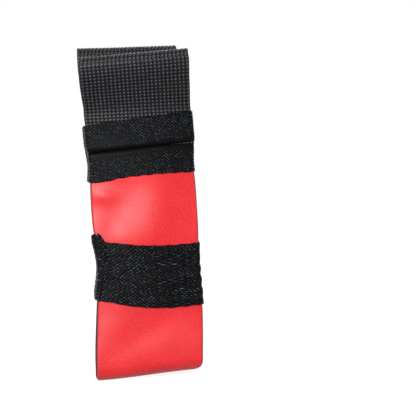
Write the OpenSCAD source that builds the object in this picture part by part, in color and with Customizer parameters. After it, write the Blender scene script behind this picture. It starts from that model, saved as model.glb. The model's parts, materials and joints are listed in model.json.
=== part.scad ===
// Padded forearm and gait sling: a wide foam-backed band bent into a U, with a
// webbing hand loop at each end and two hook-and-loop straps round the band.
// +X runs across the band, the front panel is at -Y, and +Z is up. The origin
// is on the surface the sling stands on, under the middle of the U.

/* [Padded band] */
// Width of the padded band
band_w = 99; // [90:1:101]
// Depth of the U at the elbow, over the outer faces
elbow_depth = 92; // [84:1:110]
// Depth under the forearm strap, over the outer faces
forearm_depth = 80; // [70:1:84]
// Depth under the wrist strap, over the outer faces
wrist_depth = 60; // [54:1:70]
// Bend radius where the bottom turns up into the panels
elbow_bend_r = 30; // [20:1:36]
// Thickness of the red face fabric
face_t = 1.0; // [0.6:0.1:1.4]
// Thickness of the foam
foam_t = 2.4; // [1.6:0.1:4]
// Thickness of the lining
lining_t = 0.6; // [0.4:0.1:1]

/* [Hand loops] */
// Width of the webbing
webbing_w = 103; // [101:1:105]
// Thickness of the webbing
webbing_t = 2; // [1.6:0.1:2.4]
// Height of the lower ends of the webbing
webbing_end_z = 221; // [212:1:230]
// Height of the front loop's top
front_top_z = 308; // [300:1:326]
// Height of the rear loop's top
rear_top_z = 320; // [302:1:326]
// Bend radius of the front loop's top, to the middle of the webbing
front_fold_r = 8; // [6:0.5:10]
// Bend radius of the rear loop's top, to the middle of the webbing
rear_fold_r = 10; // [6:0.5:12]

/* [Straps] */
// Width of both straps
strap_w = 60; // [50:1:60]
// Thickness of the strap fabric
strap_t = 1.8; // [1.2:0.1:2.2]
// Height of the forearm strap's lower edge
forearm_strap_z = 66; // [62:1:70]
// Height of the wrist strap's upper edge
wrist_strap_top = 249; // [246:1:252]
// Length of the wrist strap's tail, across the back
wrist_tail_len = 62; // [50:1:66]
// Thickness of a hook patch
hook_t = 1.0; // [0.8:0.1:1.4]

/* [Hidden] */

$fn = 48;
pad_t = face_t + foam_t + lining_t;
side_gap = 0.5;          // between the band's edge and the strap that passes it
body_gap = 0.3;          // between pieces that move apart
strap_ease = 2;          // straight panel above and below a strap
wrist_strap_z = wrist_strap_top - strap_w;
forearm_strap_top = forearm_strap_z + strap_w;

// Hinge roll of a hand loop: the two plies and the band between them
roll_r = webbing_t + pad_t / 2;
roll_y = wrist_depth / 2 + webbing_t - roll_r;
roll_z = wrist_strap_top + body_gap + roll_r;

// Stitches
thread_t = 0.3;
thread_w = 0.7;
stitch_len = 3.4;
stitch_pitch = 5;
stitch_inset = 5;

red_cloth = "#e8232c";
foam_black = "#2b2b2d";
webbing_black = "#1d1d20";
strap_black = "#141416";
thread_black = "#303036";

// ---- Helpers ----

function smooth(t) = let (k = max(0, min(1, t))) k * k * (3 - 2 * k);
function mix(a, b, t) = a + (b - a) * t;
function reversed(list) = [for (i = [len(list) - 1 : -1 : 0]) list[i]];
function unit(v) = v / norm(v);

// Left-hand normal of an open path at point i
function path_normal(path, i) =
    let (a = path[max(0, i - 1)],
         b = path[min(len(path) - 1, i + 1)],
         d = unit(b - a))
    [-d[1], d[0]];

function shifted(path, d) = [for (i = [0 : len(path) - 1]) path[i] + d * path_normal(path, i)];

// Outline of the strip that lies between two offsets of a path
function strip(path, d0, d1) = concat(shifted(path, d0), reversed(shifted(path, d1)));

// Draws children, given in the YZ plane, as a prism of width w centred on X
module across(w) {
    rotate([90, 0, 90])
        linear_extrude(w, center = true)
            children();
}

module rounded_rect(w, d, r) {
    square([w - 2 * r, d], center = true);
    square([w, d - 2 * r], center = true);
    for (sx = [-1, 1], sy = [-1, 1])
        translate([sx * (w / 2 - r), sy * (d / 2 - r)]) circle(r);
}

// ---- Padded band ----

// Half depth of the band's outer face at height z
function half_depth(z) =
    z < forearm_strap_z
        ? mix(elbow_depth, forearm_depth,
              smooth((z - elbow_bend_r) / (forearm_strap_z - strap_ease - elbow_bend_r))) / 2
        : mix(forearm_depth, wrist_depth,
              smooth((z - forearm_strap_top - strap_ease)
                     / (wrist_strap_z - forearm_strap_top - 2 * strap_ease))) / 2;

// Outer face of the rear half, from the bottom up
bend_steps = 12;
panel_steps = 44;
rear_half =
    concat(
        [for (i = [0 : bend_steps])
            let (a = 90 * i / bend_steps)
            [elbow_depth / 2 - elbow_bend_r + elbow_bend_r * sin(a),
             elbow_bend_r * (1 - cos(a))]],
        [for (i = [1 : panel_steps])
            let (z = mix(elbow_bend_r, wrist_strap_top, i / panel_steps))
            [half_depth(z), z]]);

// Whole outer face, from the front panel's top round to the rear panel's top
outer_face = concat(reversed([for (p = rear_half) [-p[0], p[1]]]), rear_half);

module band_layer(d0, d1) {
    across(band_w) polygon(strip(outer_face, d0, d1));
}

module face_fabric() {
    color(red_cloth) band_layer(0, face_t);
}

module foam_core() {
    color(foam_black) band_layer(face_t, face_t + foam_t);
}

module lining() {
    color("#3a3a3e") band_layer(face_t + foam_t, pad_t);
}

// ---- Hand loops ----

// Rows of stitches along X, lying on a face at y = 0 and standing proud towards -Y
module stitch_row(width) {
    count = floor(width / stitch_pitch);
    for (i = [0 : count - 1])
        translate([(i - (count - 1) / 2) * stitch_pitch - stitch_len / 2, -thread_t, -thread_w / 2])
            cube([stitch_len, thread_t, thread_w]);
}

module stitch_column(height) {
    rotate([0, 90, 0]) stitch_row(height);
}

base_rows = [webbing_end_z + 4, webbing_end_z + 9, wrist_strap_top - 6];

// Outer ply's stitches lie flush in grooves; the inner ply's stand proud
module base_stitches() {
    color(thread_black)
        for (z = base_rows) {
            translate([0, -wrist_depth / 2 - webbing_t + thread_t, z]) stitch_row(webbing_w - 8);
            translate([0, -wrist_depth / 2 + pad_t + webbing_t, z]) mirror([0, 1, 0]) stitch_row(webbing_w - 8);
        }
}

// The two plies of webbing sewn to the band's end
module webbing_base() {
    height = wrist_strap_top - webbing_end_z;
    outer_y = -wrist_depth / 2 - webbing_t;
    inner_y = -wrist_depth / 2 + pad_t;
    color(webbing_black) {
        difference() {
            translate([-webbing_w / 2, outer_y, webbing_end_z]) cube([webbing_w, webbing_t, height]);
            for (z = base_rows)
                translate([0, outer_y + thread_t, z]) stitch_row(webbing_w - 8);
        }
        translate([-webbing_w / 2, inner_y, webbing_end_z]) cube([webbing_w, webbing_t, height]);
    }
}

// Middle line of a loop's webbing, measured from its hinge roll: u outward, v up
loop_steps = 14;
function loop_line(fold_r, lean, v_top) =
    let (u0 = roll_r - webbing_t / 2)
    concat(
        [for (i = [0 : loop_steps])
            let (t = i / loop_steps)
            [mix(u0, lean + fold_r, smooth(t)), v_top * t]],
        [for (i = [1 : loop_steps - 1])
            let (a = 180 * i / loop_steps)
            [lean + fold_r * cos(a), v_top + fold_r * sin(a)]],
        [for (i = [0 : loop_steps])
            let (t = 1 - i / loop_steps)
            [mix(-u0, lean - fold_r, smooth(t)), v_top * t]]);

// Front hand loop, with its hinge roll; the rear loop is its mirror image
module handle_loop(top_z, fold_r) {
    v_top = top_z - webbing_t / 2 - fold_r - roll_z;
    line = [for (p = loop_line(fold_r, fold_r, v_top)) [-roll_y - p[0], roll_z + p[1]]];
    color(webbing_black) {
        across(webbing_w) polygon(strip(line, -webbing_t / 2, webbing_t / 2));
        translate([-webbing_w / 2, -roll_y, roll_z]) rotate([0, 90, 0]) cylinder(h = webbing_w, r = roll_r);
    }
}

module front_webbing_base() { webbing_base(); }
module front_base_stitches() { base_stitches(); }
module front_handle_loop() { handle_loop(front_top_z, front_fold_r); }
module rear_webbing_base() { mirror([0, 1, 0]) webbing_base(); }
module rear_base_stitches() { mirror([0, 1, 0]) base_stitches(); }
module rear_handle_loop() { mirror([0, 1, 0]) handle_loop(rear_top_z, rear_fold_r); }

// ---- Straps ----

inner_r = 0.4;

// A closed turn of strap; hx and hy are the half sizes of its opening
module strap_turn(hx, hy, thickness, z0, z1) {
    translate([0, 0, z0])
        linear_extrude(z1 - z0)
            difference() {
                rounded_rect(2 * (hx + thickness), 2 * (hy + thickness), inner_r + thickness);
                rounded_rect(2 * hx, 2 * hy, inner_r);
            }
}

// Half sizes of the outside of each strap's turn
forearm_out = [band_w / 2 + side_gap + strap_t, forearm_depth / 2 + strap_t];
wrist_out = [webbing_w / 2 + side_gap + strap_t, wrist_depth / 2 + webbing_t + strap_t];

module forearm_strap() {
    color(strap_black)
        strap_turn(forearm_out[0] - strap_t, forearm_out[1] - strap_t, strap_t,
                   forearm_strap_z, forearm_strap_top);
}

// The wrist strap steps out where it passes over the ends of the webbing
module wrist_strap() {
    hx = band_w / 2 + side_gap;
    hy = wrist_depth / 2;
    step_z = webbing_end_z - strap_t;
    color(strap_black) {
        strap_turn(hx, hy, strap_t, wrist_strap_z, webbing_end_z);
        translate([0, 0, step_z])
            linear_extrude(strap_t)
                difference() {
                    rounded_rect(2 * wrist_out[0], 2 * wrist_out[1], inner_r + strap_t);
                    rounded_rect(2 * hx, 2 * hy, inner_r);
                }
        strap_turn(wrist_out[0] - strap_t, wrist_out[1] - strap_t, strap_t, step_z, wrist_strap_top);
    }
}

// A box of stitches that sews a strap to the rear panel
anchor_w = 15;
anchor_x = 28;
anchor_h = 22;
module anchor_stitches(out, z_mid) {
    color(thread_black)
        translate([anchor_x + anchor_w / 2, out[1], z_mid])
            mirror([0, 1, 0])
                for (s = [-1, 1]) {
                    translate([s * anchor_w / 2, 0, 0]) stitch_column(anchor_h);
                    translate([0, 0, s * anchor_h / 2]) stitch_row(anchor_w - 4);
                }
}

// A hinge roll with a slab of strap that runs from it along +X, in the strap's thickness
module hinged_strip(length, height) {
    cylinder(h = height, d = strap_t);
    translate([0, -strap_t / 2, 0]) cube([length, strap_t, height]);
}

// Rectangle of stitches on a face at y = 0, w along X and h along Z, centred
module stitch_box(w, h) {
    for (s = [-1, 1]) {
        translate([s * w / 2, 0, 0]) stitch_column(h - stitch_inset);
        translate([0, 0, s * h / 2]) stitch_row(w);
    }
}

patch_inset = 2;         // from the strap's edges to the hook patch
patch_start = 8;         // from a tail's hinge line to its hook patch
second_layer = body_gap + hook_t + strap_t / 2;

// Forearm tail: runs along the left side from its hinge at the rear corner
forearm_tail_axis = [-forearm_out[0] - second_layer, forearm_out[1] - strap_t / 2];
forearm_tab_axis = [forearm_tail_axis[0], -forearm_out[1] - body_gap - strap_t / 2];
forearm_tail_len = forearm_tail_axis[1] - forearm_tab_axis[1] - strap_t / 2 - body_gap;

// Draws a piece of the forearm tail, made along +X from the hinge line
module at_forearm_tail() {
    translate([forearm_tail_axis[0], forearm_tail_axis[1], forearm_strap_z]) rotate([0, 0, -90]) children();
}

// Draws a piece of the wrist tail, made along +X from the hinge line at the rear left corner
wrist_tail_axis = [-wrist_out[0] + strap_t / 2, wrist_out[1] + second_layer];
module at_wrist_tail() {
    translate([wrist_tail_axis[0], wrist_tail_axis[1], wrist_strap_z]) children();
}

// Hook patch on the face that lies on the strap; side is the direction of that face
module hook_patch(tail_len, side) {
    edge = side * (strap_t / 2 + hook_t / 2) - hook_t / 2;
    color(foam_black)
        translate([patch_start, edge, patch_inset])
            cube([tail_len - patch_start - patch_inset, hook_t, strap_w - 2 * patch_inset]);
}

// Stitches round the hook patch, on the tail's other face
module hook_stitches(tail_len, side) {
    w = tail_len - patch_start - 3 * patch_inset;
    color(thread_black)
        translate([patch_start + patch_inset + w / 2 - patch_inset / 2, -side * strap_t / 2, strap_w / 2])
            mirror([0, side < 0 ? 1 : 0, 0])
                stitch_box(w, strap_w - 2 * stitch_inset);
}

// Forearm pull tab: the strap's rounded end, set askew, with one corner above the strap's edge
tab_end_x = 13;
tab_corner = [6.8, strap_w + 6.8];
module forearm_pull_tab() {
    outline = [[0, 0], [4, 8], [tab_end_x - 3, 16], [tab_end_x, 26], [tab_end_x, 46],
               [tab_end_x - 2.6, strap_w - 1], tab_corner, [2.4, strap_w + 3], [0, strap_w]];
    color(strap_black)
        translate([forearm_tab_axis[0], forearm_tab_axis[1], forearm_strap_z]) {
            cylinder(h = strap_w, d = strap_t);
            translate([0, strap_t / 2, 0])
                rotate([90, 0, 0])
                    linear_extrude(strap_t)
                        polygon(outline);
        }
}

// Wrist pull tab: the end of the tail beyond the hooks
wrist_tab_len = 14;
hem_w = 6;
module at_wrist_tab() {
    at_wrist_tail() translate([wrist_tail_len, 0, 0]) children();
}
module wrist_pull_tab() {
    color(strap_black) at_wrist_tab() hinged_strip(wrist_tab_len, strap_w);
}

// Folded end of the wrist tab, a second thickness for the fingers
module wrist_tab_hem() {
    color(strap_black)
        at_wrist_tab()
            translate([wrist_tab_len - hem_w, strap_t / 2, 0])
                cube([hem_w, strap_t / 2, strap_w]);
}

module forearm_anchor_stitches() { anchor_stitches(forearm_out, forearm_strap_z + strap_w / 2); }
module forearm_tail() { color(strap_black) at_forearm_tail() hinged_strip(forearm_tail_len, strap_w); }
module forearm_hook_patch() { at_forearm_tail() hook_patch(forearm_tail_len, 1); }
module forearm_hook_stitches() { at_forearm_tail() hook_stitches(forearm_tail_len, 1); }
module wrist_anchor_stitches() { anchor_stitches(wrist_out, (webbing_end_z + wrist_strap_top) / 2); }
module wrist_tail() {
    color(strap_black) at_wrist_tail() hinged_strip(wrist_tail_len - strap_t / 2 - body_gap, strap_w);
}
module wrist_hook_patch() { at_wrist_tail() hook_patch(wrist_tail_len, -1); }
module wrist_hook_stitches() { at_wrist_tail() hook_stitches(wrist_tail_len, -1); }

// ---- Assembly ----

face_fabric();
foam_core();
lining();
front_webbing_base();
front_base_stitches();
front_handle_loop();
rear_webbing_base();
rear_base_stitches();
rear_handle_loop();
forearm_strap();
forearm_anchor_stitches();
forearm_tail();
forearm_hook_patch();
forearm_hook_stitches();
forearm_pull_tab();
wrist_strap();
wrist_anchor_stitches();
wrist_tail();
wrist_hook_patch();
wrist_hook_stitches();
wrist_pull_tab();
wrist_tab_hem();
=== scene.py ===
"""Looks of a padded forearm and gait sling: a red foam-backed band, two webbing hand loops
and two hook-and-loop straps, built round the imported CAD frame. Metres, +Z up, front at -Y."""

import json
import math

import bpy
import numpy as np
from mathutils import Matrix, Vector


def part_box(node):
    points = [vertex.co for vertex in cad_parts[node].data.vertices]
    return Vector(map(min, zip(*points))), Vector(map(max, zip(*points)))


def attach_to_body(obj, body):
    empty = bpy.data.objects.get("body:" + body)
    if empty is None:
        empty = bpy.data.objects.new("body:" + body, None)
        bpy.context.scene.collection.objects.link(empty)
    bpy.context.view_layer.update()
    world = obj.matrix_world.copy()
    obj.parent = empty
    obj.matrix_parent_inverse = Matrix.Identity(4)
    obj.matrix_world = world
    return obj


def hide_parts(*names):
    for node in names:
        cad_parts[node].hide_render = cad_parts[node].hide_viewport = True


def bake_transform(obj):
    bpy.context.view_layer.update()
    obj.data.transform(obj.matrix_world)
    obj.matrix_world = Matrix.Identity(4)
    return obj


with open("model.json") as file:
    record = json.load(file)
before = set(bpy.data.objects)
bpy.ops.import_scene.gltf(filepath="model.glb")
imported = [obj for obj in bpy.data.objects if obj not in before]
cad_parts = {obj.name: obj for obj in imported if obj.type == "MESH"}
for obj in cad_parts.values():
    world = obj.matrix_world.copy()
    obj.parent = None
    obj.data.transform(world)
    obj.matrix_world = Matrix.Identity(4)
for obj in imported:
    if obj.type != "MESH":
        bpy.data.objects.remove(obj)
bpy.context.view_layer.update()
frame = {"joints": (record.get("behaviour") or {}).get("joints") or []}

MM = 0.001
SEED = 7                                      # of all the random draws

# ---- Sizes read from the frame ----

BAND_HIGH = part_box("face_fabric")[1]
BAND_HALF = BAND_HIGH.x                       # half width of the band
BAND_TOP = BAND_HIGH.z                        # the band ends under the wrist strap's top edge
ELBOW_HALF = BAND_HIGH.y                      # half depth at the elbow, outer faces
TAIL_LOW, TAIL_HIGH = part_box("forearm_tail")
STRAP_T = TAIL_HIGH.x - TAIL_LOW.x
FOREARM_LOW, FOREARM_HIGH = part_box("forearm_strap")
WRIST_LOW, WRIST_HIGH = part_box("wrist_strap")
STRAP_W = FOREARM_HIGH.z - FOREARM_LOW.z
BASE_LOW, BASE_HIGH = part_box("front_webbing_base")
FRONT_LOOP_LOW, FRONT_LOOP_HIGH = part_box("front_handle_loop")
REAR_LOOP_LOW, REAR_LOOP_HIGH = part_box("rear_handle_loop")
WEB_HALF = BASE_HIGH.x
WEB_T = 2 * MM
WEB_END = BASE_LOW.z                          # lower ends of the webbing
WRIST_HALF = -BASE_LOW.y - WEB_T              # half depth under the wrist strap, outer faces
FOREARM_HALF = FOREARM_HIGH.y - STRAP_T       # half depth under the forearm strap
FACE_T = 1.0 * MM
FOAM_T = 2.4 * MM
LINING_T = 0.6 * MM
PAD_T = FACE_T + FOAM_T + LINING_T
BEND_R = 13 * MM                              # where the bottom turns up into the panels
HINGES = {j["name"]: Vector(j["pos_m"]) for j in frame["joints"]}


def smooth(t):
    t = np.clip(t, 0, 1)
    return t * t * (3 - 2 * t)


def mix(a, b, t):
    return a + (b - a) * t


def bump(t, centre, width):
    """A smooth hill of height 1."""
    return np.exp(-((t - centre) / width) ** 2)


# ---- The shape that everything follows ----

BOW = 3.4 * MM                                # how far the band bows to the right
BOW_SHIFT = 1.2 * MM                          # and how far all of it moves back to the left
TILT = 4.6 * MM                               # how much higher the bottom is at its right end
REAR_WAVES = 0.7                              # bulges of the rear panel against the front's


def half_depth(z):
    """Half depth of the band's outer faces at height z, on the middle line."""
    ease = 2 * MM                             # clear of the straps' edges
    low = mix(ELBOW_HALF, FOREARM_HALF,
              smooth((z - BEND_R) / (FOREARM_LOW.z - ease - BEND_R)))
    high = mix(FOREARM_HALF, WRIST_HALF,
               smooth((z - FOREARM_HIGH.z - ease) / (WRIST_LOW.z - FOREARM_HIGH.z - 2 * ease)))
    return np.where(z < FOREARM_LOW.z, low, high)


def sideways(z):
    """The band bows a little to the right between its ends."""
    bow = smooth(z / (75 * MM)) * (1 - 0.8 * smooth((z - 200 * MM) / (100 * MM)))
    return BOW * bow - BOW_SHIFT


def squeezed_half(z, c):
    """Half width of the band on the side c; the straps squeeze it, most at its left edge."""
    forearm = mix(5.8 * MM, 1.6 * MM, c > 0) * bump(z, 107 * MM, 28 * MM)
    return BAND_HALF + 0.7 * MM - forearm - 1.7 * MM * bump(z, 204 * MM, 14 * MM)


def edge_sag(z):
    """How far the band's edges lie behind its middle line."""
    return mix(0.8 * MM, 4.2 * MM, smooth((z - 20 * MM) / (70 * MM)))


# Bulges and hollows of the panels: height, middle (x, z), half sizes and turn in degrees
BULGES = [(3.0, 10, 158, 38, 22, 80), (2.5, -39, 176, 15, 8, -10), (-1.6, 40, 146, 24, 16, 30),
          (-1.3, -31, 148, 16, 11, 80), (1.5, -34, 54, 20, 15, 0), (-0.8, -8, 40, 42, 12, 30)]


def panel_waves(x, z):
    """Soft bulges and hollows of the padded panels, which the light shows up."""
    total = 0.16 * np.sin((0.7 * x + z) / (5.5 * MM)) * bump(z, 157 * MM, 24 * MM)
    for height, x0, z0, length, width, turn in BULGES:
        u, v = x / MM - x0, z / MM - z0
        cos, sin = math.cos(math.radians(turn)), math.sin(math.radians(turn))
        total = total + height * np.exp(-((u * cos + v * sin) / length) ** 2
                                        - ((v * cos - u * sin) / width) ** 2)
    return MM * total


def tilt_up(x, z):
    """The band's bottom slopes up to the right, so its right end hangs higher."""
    return TILT * smooth((x / BAND_HALF + 1) / 2) * (1 - smooth(z / (62 * MM)))


# ---- Mesh building ----

def mesh_object(name, points, faces, material, uv=None, relief=None):
    mesh = bpy.data.meshes.new(name)
    mesh.from_pydata(points.tolist(), [], faces)
    mesh.polygons.foreach_set("use_smooth", np.ones(len(mesh.polygons), bool))
    if uv is not None:
        layer = mesh.uv_layers.new(name="Cloth")
        corner = np.zeros(len(mesh.loops), np.int32)
        mesh.loops.foreach_get("vertex_index", corner)
        layer.data.foreach_set("uv", uv[corner].astype(np.float32).ravel())
    if relief is not None:
        attribute = mesh.attributes.new("relief", "FLOAT", "POINT")
        attribute.data.foreach_set("value", relief.astype(np.float32))
    mesh.materials.append(material)
    mesh.update()
    made = bpy.data.objects.new(name, mesh)
    bpy.context.scene.collection.objects.link(made)
    return made


def grid_faces(rows, cols, start, wrap, flip):
    """Quads of a grid of points; wrap joins the last row to the first."""
    r = np.arange(rows if wrap else rows - 1)
    c = np.arange(cols - 1)
    r, c = [a.ravel() for a in np.meshgrid(r, c, indexing="ij")]
    n = (r + 1) % rows
    quads = np.stack([r * cols + c, n * cols + c, n * cols + c + 1, r * cols + c + 1], 1) + start
    return (quads[:, ::-1] if flip else quads).tolist()


def cloth_solid(name, outer, inner, material, uv, relief, wrap=False, skip=1):
    """A closed piece of cloth between two grids of points, (rows, cols, 3).

    Rows run along the cloth and columns across it. The inner face keeps one point
    in every skip, and the rims join the two."""
    rows, cols = outer.shape[:2]
    row_pick = np.arange(0, rows, skip)
    if not wrap and row_pick[-1] != rows - 1:
        row_pick = np.append(row_pick, rows - 1)
    col_pick = np.arange(0, cols, skip)
    if col_pick[-1] != cols - 1:
        col_pick = np.append(col_pick, cols - 1)
    small = inner[np.ix_(row_pick, col_pick)]
    s_rows, s_cols = small.shape[:2]
    start = rows * cols
    faces = grid_faces(rows, cols, 0, wrap, False)
    faces += grid_faces(s_rows, s_cols, start, wrap, True)

    def rim(outer_ids, inner_ids, picks, flip, closed):
        count = len(picks)
        for k in range(count if closed else count - 1):
            a, b = picks[k], picks[(k + 1) % count]
            last = b if b > a else len(outer_ids)
            run = [outer_ids[i % len(outer_ids)] for i in range(a, last + 1)]
            face = run + [inner_ids[(k + 1) % count], inner_ids[k]]
            faces.append(face[::-1] if flip else face)

    ids = np.arange(start).reshape(rows, cols)
    s_ids = (start + np.arange(s_rows * s_cols)).reshape(s_rows, s_cols)
    rim(ids[:, 0].tolist(), s_ids[:, 0].tolist(), row_pick.tolist(), True, wrap)
    rim(ids[:, -1].tolist(), s_ids[:, -1].tolist(), row_pick.tolist(), False, wrap)
    if not wrap:
        rim(ids[0].tolist(), s_ids[0].tolist(), col_pick.tolist(), False, False)
        rim(ids[-1].tolist(), s_ids[-1].tolist(), col_pick.tolist(), True, False)
    points = np.concatenate([outer.reshape(-1, 3), small.reshape(-1, 3)])
    uvs = np.concatenate([uv.reshape(-1, 2), uv[np.ix_(row_pick, col_pick)].reshape(-1, 2)])
    high = np.concatenate([relief[0].ravel(), relief[1][np.ix_(row_pick, col_pick)].ravel()])
    return mesh_object(name, points, faces, material, uvs, high)


def rounded_edge(distance, radius):
    """Share of the full thickness at a distance from a soft edge of that radius."""
    thinnest = 0.2
    k = np.clip(distance / radius, 0, 1)
    return thinnest + (1 - thinnest) * np.sqrt(1 - (1 - k) ** 2)


def resampled(points, count):
    """count points spaced evenly along a polyline, and its length."""
    gaps = np.linalg.norm(np.diff(points, axis=0), axis=1)
    along = np.concatenate([[0], np.cumsum(gaps)])
    at = np.linspace(0, along[-1], count)
    spaced = [np.interp(at, along, points[:, i]) for i in range(points.shape[1])]
    return np.stack(spaced, 1), along[-1]


def grid_normals(points, wrap):
    """Unit normals of a grid of points: along the rows crossed with across the columns."""
    if wrap:
        along = np.roll(points, -1, 0) - np.roll(points, 1, 0)
    else:
        along = np.gradient(points, axis=0)
    across = np.gradient(points, axis=1)
    normal = np.cross(along, across)
    return normal / np.maximum(np.linalg.norm(normal, axis=2, keepdims=True), 1e-12)


def smooth_noise(shape, cells, seed, wrap=False):
    """Random values that change gently over a grid, from -1 to 1."""
    rng = np.random.default_rng(seed)
    coarse = rng.uniform(-1, 1, (cells[0] + 1, cells[1] + 1))
    if wrap:
        coarse[-1] = coarse[0]
    r = np.linspace(0, cells[0], shape[0], endpoint=not wrap)
    c = np.linspace(0, cells[1], shape[1])
    r0, c0 = np.minimum(r.astype(int), cells[0] - 1), np.minimum(c.astype(int), cells[1] - 1)
    fr, fc = smooth(r - r0)[:, None], smooth(c - c0)[None, :]
    a, b = coarse[np.ix_(r0, c0)], coarse[np.ix_(r0 + 1, c0)]
    d, e = coarse[np.ix_(r0, c0 + 1)], coarse[np.ix_(r0 + 1, c0 + 1)]
    return mix(mix(a, b, fr), mix(d, e, fr), fc)


# ---- Cloth relief ----

KNUCKLE_ALONG = 3.15 * MM
KNUCKLES_ACROSS = 27
ROW_PITCH = 1.62 * MM                         # of the strap knit


def knuckles(along, across):
    """Webbing: rounded yarn knuckles in straight columns, from 0 in the gaps to 1."""
    b = (across / (2 * WEB_HALF)) * KNUCKLES_ACROSS
    a = along / KNUCKLE_ALONG
    fa, fb = a - np.floor(a) - 0.5, b - np.floor(b) - 0.5
    return np.sqrt(np.clip(1 - (fa / 0.54) ** 2 - (fb / 0.50) ** 2, 0, 1))


def cell_noise(i, j, seed):
    """A repeatable random value from 0 to 1 for each whole-number cell."""
    value = np.sin(i * 127.1 + j * 311.7 + seed * 74.7) * 43758.5453
    return value - np.floor(value)


def floats(along, across, length, seed):
    """Strap knit: short yarn floats in staggered rows, some longer, from 0 to 1."""
    row = np.floor(across / ROW_PITCH)
    fr = across / ROW_PITCH - row - 0.5
    shift = np.where(row % 2 == 0, 0.0, 0.5) + 0.22 * (cell_noise(row, 0, seed) - 0.5)
    a = along / length + shift
    col = np.floor(a)
    fa = a - col - 0.5
    size = 0.72 + 0.28 * cell_noise(col, row, seed + 1)
    dome = np.sqrt(np.clip(1 - (np.abs(fa) / (0.47 * size)) ** 2.4 - (fr / 0.48) ** 2, 0, 1))
    return dome * (0.72 + 0.28 * cell_noise(col, row, seed + 2))


# ---- Materials ----

def node_material(name, colour, roughness, sheen=0.0, specular=0.5):
    """A Principled material and its nodes; the caller links the patterns."""
    made = bpy.data.materials.new(name)
    made.use_nodes = True
    nodes, links = made.node_tree.nodes, made.node_tree.links
    shader = nodes["Principled BSDF"]
    shader.inputs["Base Color"].default_value = (*colour, 1)
    shader.inputs["Roughness"].default_value = roughness
    shader.inputs["Specular IOR Level"].default_value = specular
    shader.inputs["Sheen Weight"].default_value = sheen
    shader.inputs["Sheen Roughness"].default_value = 0.45
    cloth = nodes.new("ShaderNodeUVMap")
    cloth.uv_map = "Cloth"
    return made, nodes, links, shader, cloth


def add_node(nodes, kind, **values):
    """A node with its properties, and its sockets where the name is a socket's."""
    node = nodes.new(kind)
    for key, value in values.items():
        if hasattr(node, key):
            setattr(node, key, value)
        else:
            node.inputs[key.replace("_", " ")].default_value = value
    return node


def noise(nodes, links, vector, scale, detail=3.0, roughness=0.6):
    node = add_node(nodes, "ShaderNodeTexNoise", Scale=scale, Detail=detail, Roughness=roughness)
    links.new(vector, node.inputs["Vector"])
    return node.outputs["Fac"]


def ramp(nodes, links, factor, *stops):
    """A colour ramp through (position, colour) stops."""
    node = nodes.new("ShaderNodeValToRGB")
    while len(node.color_ramp.elements) < len(stops):
        node.color_ramp.elements.new(0.5)
    for element, (position, colour) in zip(node.color_ramp.elements, stops):
        element.position = position
        element.color = (*colour, 1)
    links.new(factor, node.inputs["Fac"])
    return node.outputs["Color"]


def mixed(nodes, links, factor, a, b, blend="MIX"):
    """Colour mix of two sockets or colours by a factor socket or number."""
    node = nodes.new("ShaderNodeMix")
    node.data_type, node.blend_type = "RGBA", blend
    for socket, value in ((node.inputs[0], factor), (node.inputs[6], a), (node.inputs[7], b)):
        if isinstance(value, bpy.types.NodeSocket):
            links.new(value, socket)
        else:
            socket.default_value = value if isinstance(value, float) else (*value, 1)
    return node.outputs[2]


def bumped(nodes, links, shader, *heights):
    """Chains bump nodes; each height is (socket, strength, distance in metres)."""
    last = None
    for socket, strength, distance in heights:
        node = add_node(nodes, "ShaderNodeBump", Strength=strength, Distance=distance)
        links.new(socket, node.inputs["Height"])
        if last is not None:
            links.new(last, node.inputs["Normal"])
        last = node.outputs["Normal"]
    links.new(last, shader.inputs["Normal"])


def stretched(nodes, links, vector, scale):
    """Cloth coordinates scaled by (along, across, 1)."""
    node = nodes.new("ShaderNodeMapping")
    node.inputs["Scale"].default_value = scale
    links.new(vector, node.inputs["Vector"])
    return node.outputs["Vector"]


def red_cloth():
    """Brushed red knit: soft sheen, fine mottling, faint nap."""
    made, nodes, links, shader, cloth = node_material(
        "red_brushed_cloth", (0.36, 0.008, 0.012), 0.48, sheen=0.05, specular=0.28)
    shader.inputs["Sheen Tint"].default_value = (1.0, 0.55, 0.55, 1)
    at = cloth.outputs["UV"]
    fine = noise(nodes, links, at, 800, 4)
    broad = noise(nodes, links, at, 26, 2)
    deep = ramp(nodes, links, fine, (0.36, (0.19, 0.001, 0.003)), (0.66, (0.43, 0.003, 0.006)))
    pale = ramp(nodes, links, fine, (0.36, (0.22, 0.002, 0.004)), (0.66, (0.46, 0.007, 0.010)))
    links.new(mixed(nodes, links, ramp(nodes, links, broad, (0.38, (0, 0, 0)), (0.66, (1, 1, 1))),
                    deep, pale), shader.inputs["Base Color"])
    nap = noise(nodes, links, stretched(nodes, links, at, (1.0, 2.2, 1)), 900, 3)
    bumped(nodes, links, shader, (nap, 0.35, 0.0003), (fine, 0.25, 0.0002))
    return made


def relief_of(nodes):
    node = nodes.new("ShaderNodeAttribute")
    node.attribute_name = "relief"
    return node.outputs["Fac"]


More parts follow.
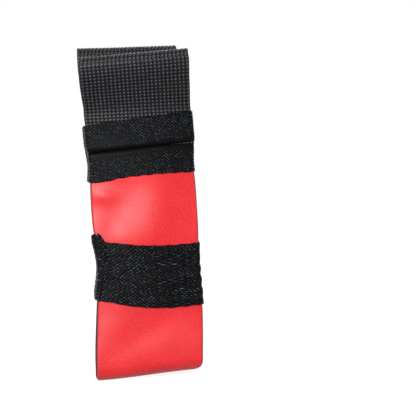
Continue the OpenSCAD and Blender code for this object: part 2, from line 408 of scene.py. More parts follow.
def webbing_cloth():
    """Heavy woven webbing of near-black yarn: painted blue-grey highlights on the knuckle tops, painted
    shade darkening the gaps, fine filaments.
    """
    made, nodes, links, shader, cloth = node_material("woven_webbing", (0.012, 0.012, 0.015), 0.40,
                                                      specular=0.11)
    at = cloth.outputs["UV"]
    height = relief_of(nodes)
    # The relief sets the colour: painted shade in the gaps between knuckles and a painted highlight on
    # their tops.
    yarn_and_painted_light = ramp(nodes, links, height, (0.0, (0.0008, 0.0005, 0.0005)), (0.60, (0.0028, 0.0019, 0.0018)),
                (0.86, (0.0095, 0.0105, 0.0125)), (1.0, (0.048, 0.060, 0.071)))
    patchy = noise(nodes, links, at, 240, 3)
    worn = ramp(nodes, links, patchy, (0.30, (0.55, 0.55, 0.55)), (0.72, (1.35, 1.35, 1.35)))
    links.new(mixed(nodes, links, 1.0, yarn_and_painted_light, worn, "MULTIPLY"), shader.inputs["Base Color"])
    filaments = noise(nodes, links, stretched(nodes, links, at, (0.35, 3.0, 1)), 2200, 2)
    bumped(nodes, links, shader, (filaments, 0.5, 0.00025))
    return made


def strap_cloth(name, top):
    """Coarse elastic knit of black yarn in staggered floats: painted highlights on the float tops, painted
    shade in the ground between them.
    """
    made, nodes, links, shader, cloth = node_material(name, (0.010, 0.010, 0.011), 0.38,
                                                      specular=0.045)
    at = cloth.outputs["UV"]
    height = relief_of(nodes)
    # The relief sets the colour: painted shade low between the floats and the painted highlight colour top
    # on their crowns.
    yarn_and_painted_light = ramp(nodes, links, height, (0.0, (0.0004, 0.0004, 0.0005)), (0.50, (0.0008, 0.0008, 0.0010)),
                (0.76, (0.0042, 0.0048, 0.006)), (1.0, top))
    patchy = noise(nodes, links, at, 330, 3)
    worn = ramp(nodes, links, patchy, (0.30, (0.45, 0.45, 0.45)), (0.70, (1.5, 1.5, 1.5)))
    links.new(mixed(nodes, links, 1.0, yarn_and_painted_light, worn, "MULTIPLY"), shader.inputs["Base Color"])
    filaments = noise(nodes, links, stretched(nodes, links, at, (0.30, 3.2, 1)), 2600, 2)
    bumped(nodes, links, shader, (filaments, 0.55, 0.0002))
    return made


def foam_cut():
    """Cut foam edge: dark grey with open pores, painted darker inside the pores as shade."""
    made, nodes, links, shader, cloth = node_material("foam_layer", (0.035, 0.035, 0.038), 0.92,
                                                      specular=0.2)
    position = nodes.new("ShaderNodeTexCoord").outputs["Object"]
    cells = add_node(nodes, "ShaderNodeTexVoronoi", Scale=1500.0)
    links.new(position, cells.inputs["Vector"])
    # Painted shade: the colour darkens in the pore pits that the bump sinks.
    links.new(ramp(nodes, links, cells.outputs["Distance"], (0.1, (0.005, 0.005, 0.006)),
                   (0.6, (0.024, 0.025, 0.028))), shader.inputs["Base Color"])
    bumped(nodes, links, shader, (cells.outputs["Distance"], 0.6, 0.0004))
    return made


def lining_cloth():
    """Dark grey tricot lining with fine wales."""
    made, nodes, links, shader, cloth = node_material("lining_knit", (0.02, 0.021, 0.025), 0.85,
                                                      specular=0.2)
    at = cloth.outputs["UV"]
    wales = add_node(nodes, "ShaderNodeTexWave", bands_direction="Y", Scale=260.0, Distortion=1.2)
    wales.inputs["Detail Scale"].default_value = 6.0
    links.new(at, wales.inputs["Vector"])
    grain = noise(nodes, links, at, 1100, 3)
    links.new(ramp(nodes, links, grain, (0.3, (0.010, 0.011, 0.013)), (0.7, (0.028, 0.030, 0.035))),
              shader.inputs["Base Color"])
    bumped(nodes, links, shader, (wales.outputs["Fac"], 0.5, 0.0002), (grain, 0.3, 0.0002))
    return made


def hook_plastic():
    """Nylon hook tape."""
    made, nodes, links, shader, cloth = node_material("hook_tape", (0.013, 0.013, 0.014), 0.35)
    position = nodes.new("ShaderNodeTexCoord").outputs["Object"]
    grain = noise(nodes, links, position, 900, 2)
    links.new(ramp(nodes, links, grain, (0.3, (0.007, 0.007, 0.008)), (0.7, (0.022, 0.022, 0.024))),
              shader.inputs["Base Color"])
    bumped(nodes, links, shader, (grain, 0.3, 0.0001))
    return made


def sewing_thread():
    """Twisted thread."""
    made, nodes, links, shader, cloth = node_material("sewing_thread", (0.03, 0.032, 0.037), 0.38,
                                                      specular=0.4)
    position = nodes.new("ShaderNodeTexCoord").outputs["Object"]
    twist = noise(nodes, links, position, 2600, 2)
    links.new(ramp(nodes, links, twist, (0.3, (0.012, 0.013, 0.015)), (0.7, (0.05, 0.054, 0.062))),
              shader.inputs["Base Color"])
    bumped(nodes, links, shader, (twist, 0.5, 0.0001))
    return made


RED = red_cloth()
WEBBING = webbing_cloth()
# The second value of each knit is the colour of its painted highlight on the float tops.
WRIST_KNIT = strap_cloth("wrist_strap_knit", (0.042, 0.055, 0.072))
FOREARM_KNIT = strap_cloth("forearm_strap_knit", (0.044, 0.053, 0.068))
FOAM = foam_cut()
LINING = lining_cloth()
HOOK = hook_plastic()
THREAD = sewing_thread()


# ---- Padded band ----

BAND_STEP = 1.6 * MM
BAND_COLS = 62


def band_line():
    """Middle line of the band's outer face (y, z), from the front top round to the rear top."""
    turn = np.linspace(0, math.pi / 2, 40)
    arc = np.stack([ELBOW_HALF - BEND_R + BEND_R * np.sin(turn), BEND_R * (1 - np.cos(turn))], 1)
    z = np.linspace(BEND_R, BAND_TOP, 300)[1:]
    half = np.concatenate([arc, np.stack([half_depth(z), z], 1)])
    front = half[::-1] * [-1, 1]
    count = int(2 * (BAND_TOP + ELBOW_HALF) / BAND_STEP)
    return resampled(np.concatenate([front, half]), count)


def band_grid(depth, wider=0.0):
    """Points of one face of the band, depth below its outer face."""
    line, length = band_line()
    direction = np.gradient(line, axis=0)
    direction /= np.linalg.norm(direction, axis=1, keepdims=True)
    outward = np.stack([direction[:, 1], -direction[:, 0]], 1)
    c = np.linspace(-1, 1, BAND_COLS)[None, :]
    y0, z0 = line[:, :1], line[:, 1:]
    half = squeezed_half(z0, c) + wider * (0.5 + 0.9 * (c < 0) * (1 - smooth(z0 / (90 * MM))))
    x = sideways(z0) + c * half
    corner = 9 * MM
    low = np.clip(1 - z0 / corner, 0, 1)
    x = x - corner * (1 - np.sqrt(1 - low ** 2)) * smooth((c - 0.62) / 0.38)
    out = -edge_sag(z0) * c ** 2 + panel_waves(c * half, z0) * np.where(y0 < 0, 1, REAR_WAVES)
    out = out * smooth(z0 / (26 * MM)) - depth
    y = y0 + outward[:, :1] * out
    z = np.maximum(z0 + outward[:, 1:] * out + tilt_up(c * half, z0), 0)
    along = np.linspace(0, length, len(line))[:, None] + 0 * c
    return np.stack([x + 0 * y, y, z], 2), np.stack([along, c * BAND_HALF + 0 * along], 2)


def band_layer(name, top, bottom, material, node, wider=0.0):
    """One layer of the band, between two depths below its outer face."""
    outer, uv = band_grid(top, wider)
    inner, _ = band_grid(bottom, wider)
    middle = (outer + inner) / 2
    c = np.linspace(-1, 1, BAND_COLS)
    edge = rounded_edge((1 - np.abs(c)) * BAND_HALF, 0.5 * MM)[None, :, None]
    outer, inner = mix(middle, outer, edge), mix(middle, inner, edge)
    level = np.zeros(outer.shape[:2])
    made = cloth_solid(name, outer, inner, material, uv, (level, level))
    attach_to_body(made, "sling")
    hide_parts(node)
    return made


face = band_layer("red_face_fabric", 0, FACE_T, RED, "face_fabric")
foam = band_layer("foam_pad", FACE_T, FACE_T + FOAM_T, FOAM, "foam_core", wider=0.7 * MM)
inside = band_layer("lining_fabric", FACE_T + FOAM_T, PAD_T, LINING, "lining", wider=1.1 * MM)


# ---- Small bent bars: stitches and hooks ----

STITCH_PITCH = 5 * MM
STITCH_PATH = np.array([(-1.7, -0.25), (-1.35, 0.05), (0, 0.14), (1.35, 0.05), (1.7, -0.25)]) * MM
STITCH_R = np.array([0.16, 0.32, 0.34, 0.32, 0.16]) * MM
HOOK_PATH = np.array([(0, 0), (0, 0.26), (0.10, 0.44), (0.30, 0.46), (0.42, 0.32)]) * MM
HOOK_R = np.array([0.15, 0.11, 0.10, 0.09, 0.06]) * MM


def unit(vectors):
    return vectors / np.maximum(np.linalg.norm(vectors, axis=-1, keepdims=True), 1e-12)


def bent_bars(name, places, along, up, path, radii, material, sides=6):
    """Many copies of one bent bar; path is (along, up) from each place."""
    along, up = unit(along), unit(up)
    aside = np.cross(up, along)
    step = unit(np.gradient(path, axis=0))
    angle = np.arange(sides) * 2 * math.pi / sides
    centre = places[:, None] + path[None, :, :1] * along[:, None] + path[None, :, 1:] * up[:, None]
    raised = -step[None, :, 1:] * along[:, None] + step[None, :, :1] * up[:, None]
    ring = (np.cos(angle)[None, None, :, None] * aside[:, None, None]
            + np.sin(angle)[None, None, :, None] * raised[:, :, None])
    points = centre[:, :, None] + ring * radii[None, :, None, None]
    count, rings = len(places), len(path)
    faces = []
    for k in range(count):
        first = k * rings * sides
        for i in range(rings - 1):
            for j in range(sides):
                a, b = first + i * sides + j, first + i * sides + (j + 1) % sides
                faces.append([a, b, b + sides, a + sides])
        faces.append([first + j for j in reversed(range(sides))])
        faces.append([first + (rings - 1) * sides + j for j in range(sides)])
    return mesh_object(name, points.reshape(-1, 3), faces, material)


def stitches(name, places, along, up):
    made = bent_bars(name, places, along, up, STITCH_PATH, STITCH_R, THREAD)
    return made


# ---- Webbing hand loops ----

WEB_STEP = 0.63 * MM
WEB_COLS = KNUCKLES_ACROSS * 5 + 1
WEB_RELIEF = 0.55 * MM


def loop_line(side, loop_low, loop_high):
    """Middle line of one webbing (y, z): up the outer ply, over the top, down the inner ply."""
    hinge = HINGES["front_handle_fold" if side < 0 else "rear_handle_fold"]
    reach = max(abs(loop_low.y), abs(loop_high.y)) - abs(hinge.y)
    fold_r = (reach - WEB_T / 2) / 2
    lean, rise = fold_r, loop_high.z - WEB_T / 2 - fold_r - hinge.z
    u0 = PAD_T / 2 + WEB_T / 2
    t = np.linspace(0, 1, 60)
    turn = np.linspace(0, math.pi, 60)[1:-1]
    foot = WEB_END - hinge.z
    points = np.concatenate([
        [[u0, foot]],
        np.stack([mix(u0, lean + fold_r, smooth(t)), rise * t], 1),
        np.stack([lean + fold_r * np.cos(turn), rise + fold_r * np.sin(turn)], 1),
        np.stack([mix(-u0, lean - fold_r, smooth(t)), rise * t], 1)[::-1],
        [[-u0, foot]]])
    return np.stack([side * (abs(hinge.y) + points[:, 0]), hinge.z + points[:, 1]], 1)


def webbing(name, side, loop_low, loop_high):
    """One hand loop with its sewn ends; side is -1 at the front and 1 at the rear."""
    line = loop_line(side, loop_low, loop_high)
    line, length = resampled(line, int(190 * MM / WEB_STEP))
    along = np.linspace(0, length, len(line))[:, None]
    c = np.linspace(-1, 1, WEB_COLS)[None, :]
    y, z = line[:, :1], line[:, 1:]
    hinge_z = HINGES["front_handle_fold"].z
    up = smooth((z - hinge_z) / (45 * MM))
    soft = smooth_noise((len(line), WEB_COLS), (9, 3), SEED + (side > 0))
    pinch = 0.7 * MM * (1 - smooth((z - 235 * MM) / (50 * MM))) + (0 if side < 0 else 2.0) * MM * up
    wobble = 0.35 * MM * smooth_noise((len(line), 1), (26, 1), SEED + 5)
    x = sideways(z) + c * (WEB_HALF - pinch + wobble) - (0 if side < 0 else 3.9 * MM) * up
    pull = mix(edge_sag(z), 1.0 * MM, up)
    y = y - side * pull * c ** 2 + 0.7 * MM * soft * up
    slant = 2.5 * MM if side < 0 else -0.5 * MM
    z = z + slant * c * up + (1.3 * MM + 0.35 * MM * soft) * up
    middle = np.stack([x, y, z], 2)
    normal = grid_normals(middle, False) * side * -1
    lift = knuckles(along, c * WEB_HALF + WEB_HALF)
    edge = rounded_edge((1 - np.abs(c)) * WEB_HALF, 1.2 * MM)
    ends = rounded_edge(np.minimum(along, length - along), 0.8 * MM)
    half = (WEB_T / 2 - WEB_RELIEF * (1 - lift)) * np.minimum(edge, ends)
    back_lift = knuckles(along + KNUCKLE_ALONG / 2, c * WEB_HALF + WEB_HALF)
    back = (WEB_T / 2 - WEB_RELIEF * (1 - back_lift)) * np.minimum(edge, ends)
    uv = np.stack([along + 0 * c, c * WEB_HALF + 0 * along], 2)
    outer, inner = middle + normal * half[..., None], middle - normal * back[..., None]
    turn = side * -1                          # keeps the faces outward on both sides
    made = cloth_solid(name + "_webbing_loop", outer[::turn], inner[::turn], WEBBING,
                       uv[::turn], (lift[::turn], lift[::turn]))
    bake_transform(made)
    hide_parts(name + "_webbing_base", name + "_handle_loop")

    # Three rows of stitches through each ply, on the face that shows
    spread = STITCH_PITCH * (np.arange(19) - 9) / WEB_HALF
    cols = np.rint((spread + 1) / 2 * (WEB_COLS - 1)).astype(int)
    seams = np.array([WEB_END + 4 * MM, WEB_END + 9 * MM, WRIST_HIGH.z - 6 * MM])
    above = line[:, 1][:, None] > seams
    rows = np.concatenate([above.argmax(0), len(line) - 1 - above[::-1].argmax(0)])
    pick = np.ix_(rows, cols)
    places, up = outer[pick].reshape(-1, 3), normal[pick].reshape(-1, 3)
    across = np.gradient(middle, axis=1)[pick].reshape(-1, 3)
    thread = stitches(name + "_base_thread", places, across, up)
    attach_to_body(thread, "sling")
    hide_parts(name + "_base_stitches")


webbing("front", -1, FRONT_LOOP_LOW, FRONT_LOOP_HIGH)
webbing("rear", 1, REAR_LOOP_LOW, REAR_LOOP_HIGH)


# ---- Straps ----

REAR, REAR_LEFT, LEFT, FRONT_LEFT, FRONT, FRONT_RIGHT, RIGHT, REAR_RIGHT = range(8)
LEFT_SIDE = (REAR_LEFT, LEFT, FRONT_LEFT)
CORNER_R = 1.2 * MM
STRAP_RELIEF = 0.62 * MM
STRAP_COLS = 160
FLOAT_LENGTH = {"forearm": 4.1 * MM, "wrist": 3.3 * MM}
GAP = 0.12 * MM                               # air between two layers of cloth
SECOND = STRAP_T + 0.15 * MM                  # how far a second layer stands off the first turn
TAPE_OFF = SECOND - 0.05 * MM                 # and its hook tape's inner face
ON_TOP = SECOND + STRAP_T                     # and its outer face
LIFTED = 0.25 * MM                            # and a tail where it leaves the first turn
TAPE_T = 0.45 * MM


def forearm_height(level, c):
    """The forearm strap sits askew: its left end is the higher one."""
    askew = (3.4 * (c - 0.55) ** 2 - 0.3) * MM + 0.8 * MM * (1 - level)
    narrow = 2.2 * MM * smooth(-c) * (1 - level)
    return mix(FOREARM_LOW.z, FOREARM_HIGH.z, level) + askew + narrow


def forearm_depth(c, z, side):
    """Half depth of the strap's inner face, with soft puckers at the front right."""
    wave = panel_waves(c * BAND_HALF, z) * (1 if side < 0 else REAR_WAVES)
    pucker = np.sin(z / (2.1 * MM) + 2.2 * c) * bump(c, 0.55, 0.40) + 0.6 * np.sin(z / (3.3 * MM) - 3 * c)
    return half_depth(z) - edge_sag(z) * c ** 2 + wave + 0.28 * MM * pucker


def forearm_half(z, c):
    """Half width of the strap's inner face, scalloped low on the right."""
    scallop = 0.45 * MM * np.sin(z / (1.75 * MM)) * bump(z, 92 * MM, 22 * MM) * (c > 0)
    return squeezed_half(z, c) + 0.1 * MM + scallop


def step_height(c):
    """Height of the crease where the wrist strap steps down off the webbing's end."""
    return WEB_END + 3.0 * MM * c


def wrist_height(level, c):
    """The wrist strap rises to the right, more at its upper edge."""
    low = WRIST_LOW.z + (4.5 + 2.65 * c - 2.15 * c ** 2 - 1.2 * bump(c, -0.75, 0.2)) * MM
    return mix(low, WRIST_HIGH.z + (4.6 * c - 1.2) * MM, level)


def over_webbing(c, z):
    """0 below the webbing's end and 1 above it."""
    return smooth((z - step_height(c) + 1.2 * MM) / (2.6 * MM))


def wrist_depth(c, z, side):
    """Half depth of the strap's inner face, with a roll above the crease and a dip below it."""
    above = z - step_height(c)
    roll = 0.75 * MM * bump(above, 3.0 * MM, 3.0 * MM) - 0.35 * MM * bump(above, -3.2 * MM, 2.6 * MM)
    wave = panel_waves(c * BAND_HALF, z) * (1 if side < 0 else REAR_WAVES)
    wave = wave + 0.12 * MM * np.sin(z / (3.1 * MM) + 2.5 * c)
    web = (WEB_T + 0.2 * MM) * over_webbing(c, z)
    return half_depth(z) - edge_sag(z) * c ** 2 + web + roll + wave


def wrist_half(z, c):
    """Half width of the strap's inner face, as wide as the webbing from there up."""
    wide = smooth((z - WEB_END + 2 * MM) / (9 * MM))
    return mix(squeezed_half(z, c) + 0.1 * MM, WEB_HALF - 0.9 * MM, wide)


STRAPS = {"forearm": (forearm_height, forearm_depth, forearm_half),
          "wrist": (wrist_height, wrist_depth, wrist_half)}


def strap_row(strap, segment, t, level, raised=0.0):
    """Inner-face points of a strap at share t of one segment of its turn, for every level."""
    height, depth, half_of = STRAPS[strap]
    t = t + 0 * level
    side = -1 if segment in (FRONT_LEFT, FRONT, FRONT_RIGHT) else 1
    if segment in (REAR, FRONT):
        c = (2 * t - 1) * side * -1
    elif segment in (REAR_LEFT, LEFT, FRONT_LEFT):
        c = -1 + 0 * t
    else:
        c = 1 + 0 * t
    z = height(level, c) + raised
    half = half_of(z, c)
    inside = half - CORNER_R
    if segment in (REAR, FRONT):
        x, y = c * inside, side * depth(c, z, side)
    elif segment in (LEFT, RIGHT):
        reach = depth(c, z, side) - CORNER_R
        along = 1 - 2 * t if segment == LEFT else 2 * t - 1
        x = c * (half + 0.7 * MM * (1 - along ** 2))
        y = along * reach
    else:
        first, last = {REAR_LEFT: (100, 180), FRONT_LEFT: (180, 260),
                       FRONT_RIGHT: (280, 360), REAR_RIGHT: (0, 80)}[segment]
        angle = np.radians(mix(first, last, t))
        x = c * inside + CORNER_R * np.cos(angle)
        y = side * (depth(c, z, side) - CORNER_R) + CORNER_R * np.sin(angle)
    return np.stack([sideways(z) + x, y, z], 1)


def steps(segment, first, last, count):
    """Stations (segment, share) from first up to but not including last."""
    return [(segment, t) for t in np.linspace(first, last, count, endpoint=False)]


def full_turn():
    """Stations all the way round, the way the strap is wound."""
    found = []
    for segment, count in ((REAR, 140), (REAR_LEFT, 7), (LEFT, 92), (FRONT_LEFT, 7),
                           (FRONT, 140), (FRONT_RIGHT, 7), (RIGHT, 92), (REAR_RIGHT, 7)):
        found += steps(segment, 0, 1, count)
    return found


def strap_piece(name, strap, stations, material, lift=0.0, raised=None, thick=STRAP_T,
                seed=0, stretch=None, groove=None, wrap=False, ends=(True, True)):
    """A length of strap wound along stations; lift is how far it stands off the first turn.

    raised moves each station's points up, stretch changes the knit, groove flattens the knit and so
    darkens its colour as painted shade, and ends says which of the piece's two ends are cut and so thin
    out."""
    count = len(stations)
    level = np.linspace(0, 1, STRAP_COLS)
    raised = [0.0] * count if raised is None else raised
    base = np.array([strap_row(strap, segment, t, level, up)
                     for (segment, t), up in zip(stations, raised)])
    length = FLOAT_LENGTH[strap]
    normal = grid_normals(base, wrap)
    middle = base[:, STRAP_COLS // 2]
    gaps = np.linalg.norm(np.diff(middle, axis=0), axis=1)
    along = np.concatenate([[0], np.cumsum(gaps)])[:, None]
    total = along[-1, 0]
    across = level[None, :] * STRAP_W
    lift_by = (np.zeros(count) + lift)[:, None]
    half = (np.zeros(count) + thick)[:, None] / 2
    wavy = across + 0.35 * MM * smooth_noise((count, STRAP_COLS), (30, 6), SEED + seed, wrap)
    high = floats(along + 0 * across, wavy, length, seed)
    if stretch is not None:
        pulled = floats(along + 0 * across, wavy, 2.6 * length, seed + 9)
        high = mix(high, pulled, stretch(stations, level))
    # In the crease this lowers the relief, which also darkens the colour as painted shade.
    if groove is not None:
        high = high * groove(stations, level)
    edge = rounded_edge(np.minimum(across, STRAP_W - across), 1.0 * MM)
    if not wrap:
        far = 1.0                             # keeps an uncut end at its full thickness
        from_end = np.minimum(along + (0 if ends[0] else far), total - along + (0 if ends[1] else far))
        edge = np.minimum(edge, rounded_edge(from_end, 1.0 * MM))

    # Both long edges are scalloped by the knit's turning loops
    loops = 0.32 * MM * np.sin(2 * math.pi * along / (2.3 * MM)) + 0.2 * MM * np.sin(along / (1.9 * MM))
    rim = np.exp(-across / (0.9 * MM)) - np.exp(-(STRAP_W - across) / (0.9 * MM))
    base[..., 2] -= rim * loops
    centre = base + normal * (lift_by + half + GAP)[..., None]
    outer = centre + normal * ((half - STRAP_RELIEF * (1 - high)) * edge)[..., None]
    inner = centre - normal * (0.7 * half * edge)[..., None]
    uv = np.stack([along + 0 * across, across + 0 * along], 2)
    made = cloth_solid(name, outer, inner, material, uv, (high, 0.3 * high), wrap, skip=4)
    return made, total


def stretched_right(stations, level):
    """Where the forearm strap's knit is pulled into long floats."""
    where = np.zeros((len(stations), len(level)))
    for k, (segment, t) in enumerate(stations):
        if segment == FRONT:
            where[k] = bump(t, 0.72, 0.16) * (0.25 + 0.75 * smooth(0.5 + 2.2 * np.sin(level * 17 + 2 * t)))
    return smooth(where * 1.4)


def crease_flat_and_shaded(stations, level):
    """The wrist strap's knit lies flatter in the crease under the webbing's end, and its lowered relief
    paints shade into the colour there.
    """
    rows = []
    for segment, t in stations:
        c = {REAR: 1 - 2 * t, FRONT: 2 * t - 1}.get(segment, -1 if segment in LEFT_SIDE else 1)
        above = wrist_height(level, c) - step_height(c)
        rows.append(1 - 0.9 * bump(above, -2.4 * MM, 4.0 * MM))
    return np.array(rows)


def on_strap(strap, segment, t, level, off):
    """Points off a strap's inner face, with the directions along, up and outward there."""
    t, level = [np.ravel(a) for a in np.broadcast_arrays(t, level)]
    step = 0.002
    along = unit(strap_row(strap, segment, t + step, level) - strap_row(strap, segment, t - step, level))
    up = unit(strap_row(strap, segment, t, level + step) - strap_row(strap, segment, t, level - step))
    out = np.cross(along, up)
    return strap_row(strap, segment, t, level) + off * out, along, up, out


def sewn_box(name, strap, segment, shares, levels, off):
    """A rectangle of stitches through a strap, between two shares and two levels."""
    ends = on_strap(strap, segment, np.array(shares), 0.5, 0)[0]
    n_along = int(np.linalg.norm(ends[1] - ends[0]) / STITCH_PITCH)
    n_up = int((levels[1] - levels[0]) * STRAP_W / STITCH_PITCH)
    t = mix(*shares, (np.arange(n_along) + 0.5) / n_along)
    h = mix(*levels, (np.arange(n_up) + 0.5) / n_up)
    found = []
    for level in levels:
        place, along, up, out = on_strap(strap, segment, t, level, off)
        found.append((place, along, out))
    for share in shares:
        place, along, up, out = on_strap(strap, segment, share, h, off)
        found.append((place, up, out))
    return stitches(name, *[np.concatenate(part) for part in zip(*found)])


def hook_tape(name, strap, segment, shares, levels, off, attach, node):
    """A tape of small hooks on the inner side of a strap's second layer."""
    t, level = np.linspace(*shares, 60), np.linspace(*levels, 50)
    grid = np.array([strap_row(strap, segment, k, level) for k in t])
    normal = grid_normals(grid, False)
    zero = np.zeros(grid.shape[:2])
    uv = np.stack(np.meshgrid(t, level, indexing="ij"), 2) * STRAP_W
    tape = cloth_solid(name + "_tape", grid + normal * (off + TAPE_T), grid + normal * off,
                       HOOK, uv, (zero, zero))
    length = np.linalg.norm(np.diff(grid[:, 25], axis=0), axis=1).sum()
    rows, cols = np.meshgrid(np.linspace(shares[0], shares[1], int(length / (1.9 * MM)))[1:-1],
                             np.linspace(levels[0], levels[1], 28)[1:-1], indexing="ij")
    place, along, up, out = on_strap(strap, segment, rows, cols, off + 0.05 * MM)
    flip = np.where(np.arange(len(place)) % 2, 1, -1)[:, None]
    hooks = bent_bars(name + "_hooks", place, up * flip, -out, HOOK_PATH, HOOK_R, HOOK, sides=4)
    for piece in (tape, hooks):
        attach(piece)
    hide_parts(node)


forearm_ring, forearm_turn = strap_piece(
    "forearm_strap_turn", "forearm", full_turn(), FOREARM_KNIT,
    wrap=True, seed=11, stretch=stretched_right)
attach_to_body(forearm_ring, "sling")
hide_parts("forearm_strap")

wrist_ring, wrist_turn = strap_piece(
    "wrist_strap_turn", "wrist", full_turn(), WRIST_KNIT,
    wrap=True, seed=23, groove=crease_flat_and_shaded)
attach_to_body(wrist_ring, "sling")
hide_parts("wrist_strap")


def bend_forearm_tail(piece):
    """Bakes a piece's placement into its mesh; the tail's bend round the rear left corner comes from its
    stations.
    """
    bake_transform(piece)


TAIL_START, TAIL_CLIMB = 0.28, 0.10           # shares of the rear
tail_stations = steps(REAR, TAIL_START, 1, 100) + steps(REAR_LEFT, 0, 1, 8) + steps(LEFT, 0, 0.505, 47)
tail_lift = [mix(LIFTED, SECOND, smooth((t - TAIL_START) / TAIL_CLIMB)) if s == REAR else SECOND
             for s, t in tail_stations]
forearm_tail, forearm_tail_length = strap_piece(
    "forearm_tail_cloth", "forearm", tail_stations, FOREARM_KNIT,
    lift=tail_lift, seed=31, ends=(True, False))
bend_forearm_tail(forearm_tail)
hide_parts("forearm_tail")
hook_tape("forearm", "forearm", LEFT, (0.10, 0.90), (0.035, 0.965), TAPE_OFF,
          bend_forearm_tail, "forearm_hook_patch")
thread = sewn_box("forearm_hook_thread", "forearm", LEFT, (0.12, 0.88), (0.07, 0.93), ON_TOP)
bend_forearm_tail(thread)
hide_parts("forearm_hook_stitches")

# Forearm pull tab: the rest of the left side, round the front left corner, to a slanted end
TAB_LEVELS = [0, 0.12, 0.30, 0.50, 0.66, 0.85, 0.93, 1]
TAB_REACH = [0.2, 1.0, 3.4, 8.0, 9.4, 8.2, 6.4, 3.4]       # mm from the corner, at those levels
ON_TURN, ON_FRONT, FRONT_ROWS = 46, 54, 16    # rows before the corner and the front, and on it
levels = np.linspace(0, 1, STRAP_COLS)
reach = np.interp(levels, TAB_LEVELS, TAB_REACH) * MM / (2 * BAND_HALF)
tab_stations = steps(LEFT, 0.5, 1, ON_TURN) + steps(FRONT_LEFT, 0, 1, ON_FRONT - ON_TURN)
tab_stations += [(FRONT, share * reach) for share in np.linspace(0, 1, FRONT_ROWS)]


def tab_raised(k):
    """The tab's top corner stands above the strap's edge, with a notch beside it."""
    corner = 6.6
    if k < ON_FRONT:
        rise = corner * smooth((k / ON_FRONT - 0.55) / 0.45)
    else:
        share = (k - ON_FRONT) / (FRONT_ROWS - 1)
        rise = corner - 3.2 * bump(share, 0.25, 0.22) + 0.8 * share
    return rise * MM * smooth((levels - 0.72) / 0.28)


tab_count = len(tab_stations)
tab_lift = [mix(SECOND, SECOND - 0.7 * MM, smooth((k - ON_TURN) / 10)) for k in range(tab_count)]
tab_thick = [STRAP_T * (1 - 0.4 * smooth((k - ON_FRONT) / (FRONT_ROWS - 1)))
             for k in range(tab_count)]
forearm_tab, forearm_tab_length = strap_piece(
    "forearm_tab_cloth", "forearm", tab_stations, FOREARM_KNIT, lift=tab_lift,
    raised=[tab_raised(k) for k in range(tab_count)], thick=tab_thick, seed=31, ends=(False, True))
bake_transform(forearm_tab)
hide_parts("forearm_pull_tab")

# Wrist tail and pull tab: from the rear left corner along the back
tab_x, tab_end = HINGES["wrist_tab_peel"].x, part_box("wrist_pull_tab")[1].x


def rear_share(x):
    """Share of the rear segment at which x lies; it runs from +X to -X."""
    return 0.5 - x / (2 * (WEB_HALF - CORNER_R))


def bend_wrist_tail(piece):
    """Bakes a piece's placement into its mesh; the tail's bend round the rear left corner comes from its
    stations.
    """
    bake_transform(piece)


TAB_ROWS, HEM_W, HEM_T = 60, 5 * MM, 0.9 * MM
split = rear_share(-10 * MM)                  # where the tab is cut from the tail
rounding = 1 - np.sqrt(1 - (np.clip(np.abs(2 * levels - 1) - 0.75, 0, 1) / 0.25) ** 2)
end_share = rear_share(tab_end) + rounding * 7 * MM / (2 * WEB_HALF)
wrist_tab_stations = [(REAR, mix(end_share, split, k)) for k in np.linspace(0, 1, TAB_ROWS)]
hemmed = [STRAP_T + HEM_T * (1 - smooth((k * 0.6 * MM - HEM_W) / (1 * MM))) for k in range(TAB_ROWS)]
wrist_tab, wrist_tab_length = strap_piece(
    "wrist_tab_cloth", "wrist", wrist_tab_stations, WRIST_KNIT, lift=SECOND, thick=hemmed,
    seed=41, ends=(True, False))
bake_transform(wrist_tab)
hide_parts("wrist_pull_tab", "wrist_tab_hem")

TAIL_END = 0.14                               # share of the left side
wrist_tail_stations = (steps(REAR, split, 1, 60) + steps(REAR_LEFT, 0, 1, 8)
                       + steps(LEFT, 0, TAIL_END, 12))
wrist_lift = [mix(SECOND, LIFTED, smooth(t / TAIL_END)) if s == LEFT else SECOND
              for s, t in wrist_tail_stations]
wrist_tail, wrist_tail_length = strap_piece(
    "wrist_tail_cloth", "wrist", wrist_tail_stations, WRIST_KNIT,
    lift=wrist_lift, seed=41, ends=(False, True))
bend_wrist_tail(wrist_tail)
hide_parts("wrist_tail")
patch_low, patch_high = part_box("wrist_hook_patch")
patch_shares = (rear_share(patch_high.x), rear_share(patch_low.x))
hook_tape("wrist", "wrist", REAR, patch_shares, (0.035, 0.965), TAPE_OFF,
          bend_wrist_tail, "wrist_hook_patch")
inset = 0.02                                  # of the stitches from the tape's ends
thread = sewn_box("wrist_hook_thread", "wrist", REAR, (patch_shares[0] + inset, patch_shares[1] - inset),
                  (0.07, 0.93), ON_TOP)
bend_wrist_tail(thread)
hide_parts("wrist_hook_stitches")

# Boxes of stitches that sew each strap's turn to the rear panel
for strap, low in (("forearm", FOREARM_LOW.z), ("wrist", WRIST_LOW.z)):
    node = strap + "_anchor_stitches"
    box_low, box_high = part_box(node)
    thread = sewn_box(strap + "_anchor_thread", strap, REAR,
                      (rear_share(box_high.x), rear_share(box_low.x)),
                      ((box_low.z - low) / STRAP_W, (box_high.z - low) / STRAP_W), STRAP_T)
    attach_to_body(thread, "sling")
    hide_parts(node)


# ---- Floor, light and camera ----

def floor():
    bpy.ops.mesh.primitive_circle_add(vertices=96, radius=30, fill_type="NGON", location=(0, 0, 0))
    plane = bpy.context.object
    plane.name = "floor"
    made = bpy.data.materials.new("floor_pale")
    made.use_nodes = True
    shader = made.node_tree.nodes["Principled BSDF"]
    shader.inputs["Base Color"].default_value = (0.14, 0.14, 0.14, 1)
    shader.inputs["Emission Color"].default_value = (1, 1, 1, 1)
    shader.inputs["Emission Strength"].default_value = 0.88
    shader.inputs["Roughness"].default_value = 0.95
    shader.inputs["Specular IOR Level"].default_value = 0.0
    plane.data.materials.append(made)


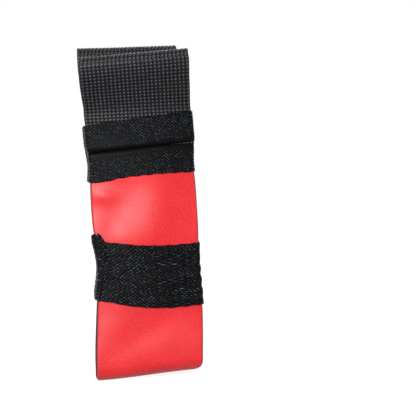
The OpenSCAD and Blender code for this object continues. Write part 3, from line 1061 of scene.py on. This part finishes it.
def area_light(name, place, target, size, watts, colour=(1, 1, 1)):
    lamp = bpy.data.lights.new(name, "AREA")
    lamp.shape, lamp.size, lamp.energy, lamp.color = "DISK", size, watts, colour
    made = bpy.data.objects.new(name, lamp)
    made.location = place
    made.rotation_mode = "QUATERNION"
    made.rotation_quaternion = (Vector(target) - Vector(place)).to_track_quat("-Z", "Y")
    bpy.context.scene.collection.objects.link(made)


def studio():
    world = bpy.data.worlds.new("studio")
    bpy.context.scene.world = world
    world.use_nodes = True
    background = world.node_tree.nodes["Background"]
    background.inputs["Color"].default_value = (1, 1, 1, 1)
    background.inputs["Strength"].default_value = 1.0
    middle = (0, 0, 0.16)
    area_light("key", (-0.8, -1.5, 1.1), middle, 0.6, 80)
    area_light("side", (1.5, -0.7, 0.7), middle, 0.5, 8, (0.93, 0.96, 1))
    area_light("back", (0.4, 1.6, 1.2), middle, 0.7, 8)
    bpy.context.scene.view_settings.view_transform = "Standard"


def camera():
    """Level view from a little left of straight ahead, leaned so the sling tips to the left."""
    azimuth, elevation, lean = math.radians(-2.3), math.radians(3), math.radians(3.1)
    distance, lens = 1.2, 109
    look_right, look_up = 62.1 * MM, 7.3 * MM      # the sling stands left of the middle
    centre = Vector((0, -35 * MM, 155 * MM))
    back = Vector((math.sin(azimuth) * math.cos(elevation),
                   -math.cos(azimuth) * math.cos(elevation), math.sin(elevation)))
    right = Vector((math.cos(azimuth), math.sin(azimuth), 0))
    up = back.cross(right)
    right, up = (right * math.cos(lean) - up * math.sin(lean),
                 up * math.cos(lean) + right * math.sin(lean))
    place = centre + back * distance
    ahead = (centre + right * look_right + up * look_up - place).normalized()
    right = ahead.cross(up).normalized()
    up = right.cross(ahead)
    lens_data = bpy.data.cameras.new("camera")
    lens_data.lens, lens_data.sensor_width = lens, 36
    made = bpy.data.objects.new("camera", lens_data)
    made.matrix_world = Matrix((
        (right.x, up.x, -ahead.x, place.x),
        (right.y, up.y, -ahead.y, place.y),
        (right.z, up.z, -ahead.z, place.z),
        (0, 0, 0, 1)))
    bpy.context.scene.collection.objects.link(made)
    bpy.context.scene.camera = made


floor()
studio()
camera()
